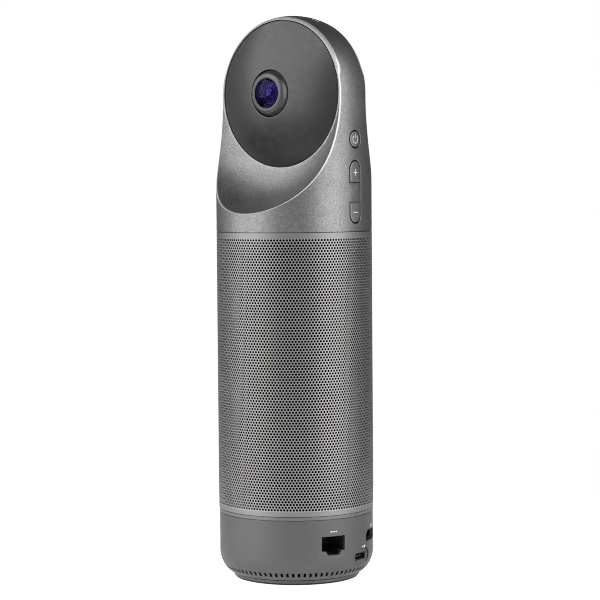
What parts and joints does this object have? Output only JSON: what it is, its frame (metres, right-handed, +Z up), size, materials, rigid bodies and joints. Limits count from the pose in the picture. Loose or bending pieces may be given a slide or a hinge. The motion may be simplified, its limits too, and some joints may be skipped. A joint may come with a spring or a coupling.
{
  "type": "panoramic conference camera",
  "caption": "Pillar-form panoramic conference camera: a lens on each face of a scooped head, sprung side keys, perforated speaker section, vented base with sockets.",
  "frame": {"origin": "under the middle of the foot, on the surface it stands on", "axes": "+Z up along the pillar; -Y is where the front lens looks; +X is the side with the keys and sockets"},
  "size_m": [0.076, 0.076, 0.274],
  "materials": {
    "head_shell": "fine bead-blasted metallic grey",
    "grille": "perforated sheet, satin grey",
    "base": "smooth matte grey",
    "trim": "satin, turned",
    "lens_plate": "semi-gloss dark grey",
    "bezel": "turned, anodised grey",
    "lens_glass": "coated glass with a violet-blue sheen",
    "black_plastic": "matte black",
    "grey_plastic": "moulded grey",
    "key_cap": "fine satin grey",
    "rubber": "matte black rubber",
    "cloth": "black acoustic cloth",
    "circuit_board": "solder-masked board",
    "steel": "plated steel",
    "brass": "machined brass",
    "copper": "enamelled copper wire and gold-plated contacts",
    "bare_aluminium": "extruded aluminium",
    "magnet": "sintered magnet",
    "cone_paper": "pressed paper",
    "silicon": "image sensor",
    "light": "translucent white"
  },
  "bodies": {
    "housing": {"av_jack": "steel", "base_shell": "base", "base_standoffs": "brass", "board_screws": "steel", "bottom_cover": "base", "camera_bracket": "bare_aluminium", "chassis_rails": "grey_plastic", "cone_surround": "rubber", "cover_screws": "steel", "fan_frame": "black_plastic", "fan_screws": "steel", "foot_ring": "rubber", "front_dome_lens": "lens_glass", "front_inner_lens": "lens_glass", "front_lens_barrel": "black_plastic", "front_lens_bezel": "bezel", "front_lens_plate": "lens_plate", "front_sensor_board": "circuit_board", "grille_liner": "cloth", "grille_tube": "grille", "head_housing": "head_shell", "head_screws": "steel", "heat_sink": "bare_aluminium", "image_sensors": "silicon", "inner_cage": "grey_plastic", "io_board": "circuit_board", "key_board": "circuit_board", "key_switches": "black_plastic", "lan_contacts": "copper", "lan_jack": "black_plastic", "lower_bulkhead": "grey_plastic", "main_board": "circuit_board", "mic_board": "circuit_board", "mic_capsules": "steel", "processor_shield": "steel", "rear_dome_lens": "lens_glass", "rear_inner_lens": "lens_glass", "rear_lens_barrel": "black_plastic", "rear_lens_bezel": "bezel", "rear_lens_plate": "lens_plate", "rear_sensor_board": "circuit_board", "speaker_basket": "steel", "speaker_box": "black_plastic", "speaker_magnet": "magnet", "status_light": "light", "thermal_pad": "rubber", "trim_ring": "trim", "tripod_insert": "brass", "upper_bulkhead": "grey_plastic", "usb_board": "circuit_board", "usb_c_jack": "steel"},
    "power_key_body": {"power_key": "key_cap"},
    "volume_up_body": {"volume_up_key": "key_cap"},
    "volume_down_body": {"volume_down_key": "key_cap"},
    "fan_body": {"fan_rotor": "black_plastic", "fan_shaft": "steel"},
    "cone_body": {"speaker_cone": "cone_paper", "voice_coil": "copper", "dust_cap": "cone_paper"}
  },
  "joints": [
    {"name": "power_key_press", "type": "slide", "parent": "housing", "child": "power_key_body", "axis": [-1, 0, 0], "range_m": [0, 0.0005], "stiffness_N_per_m": 2000},
    {"name": "volume_up_press", "type": "slide", "parent": "housing", "child": "volume_up_body", "axis": [-1, 0, 0], "range_m": [0, 0.0005], "stiffness_N_per_m": 2000},
    {"name": "volume_down_press", "type": "slide", "parent": "housing", "child": "volume_down_body", "axis": [-1, 0, 0], "range_m": [0, 0.0005], "stiffness_N_per_m": 2000},
    {"name": "fan_spin", "type": "hinge", "parent": "housing", "child": "fan_body", "pos_m": [0, 0, 0.0415], "axis": [0, 0, 1], "continuous": true},
    {"name": "cone_stroke", "type": "slide", "parent": "housing", "child": "cone_body", "axis": [0, -1, 0], "range_m": [-0.0008, 0.0008], "stiffness_N_per_m": 2000}
  ]
}
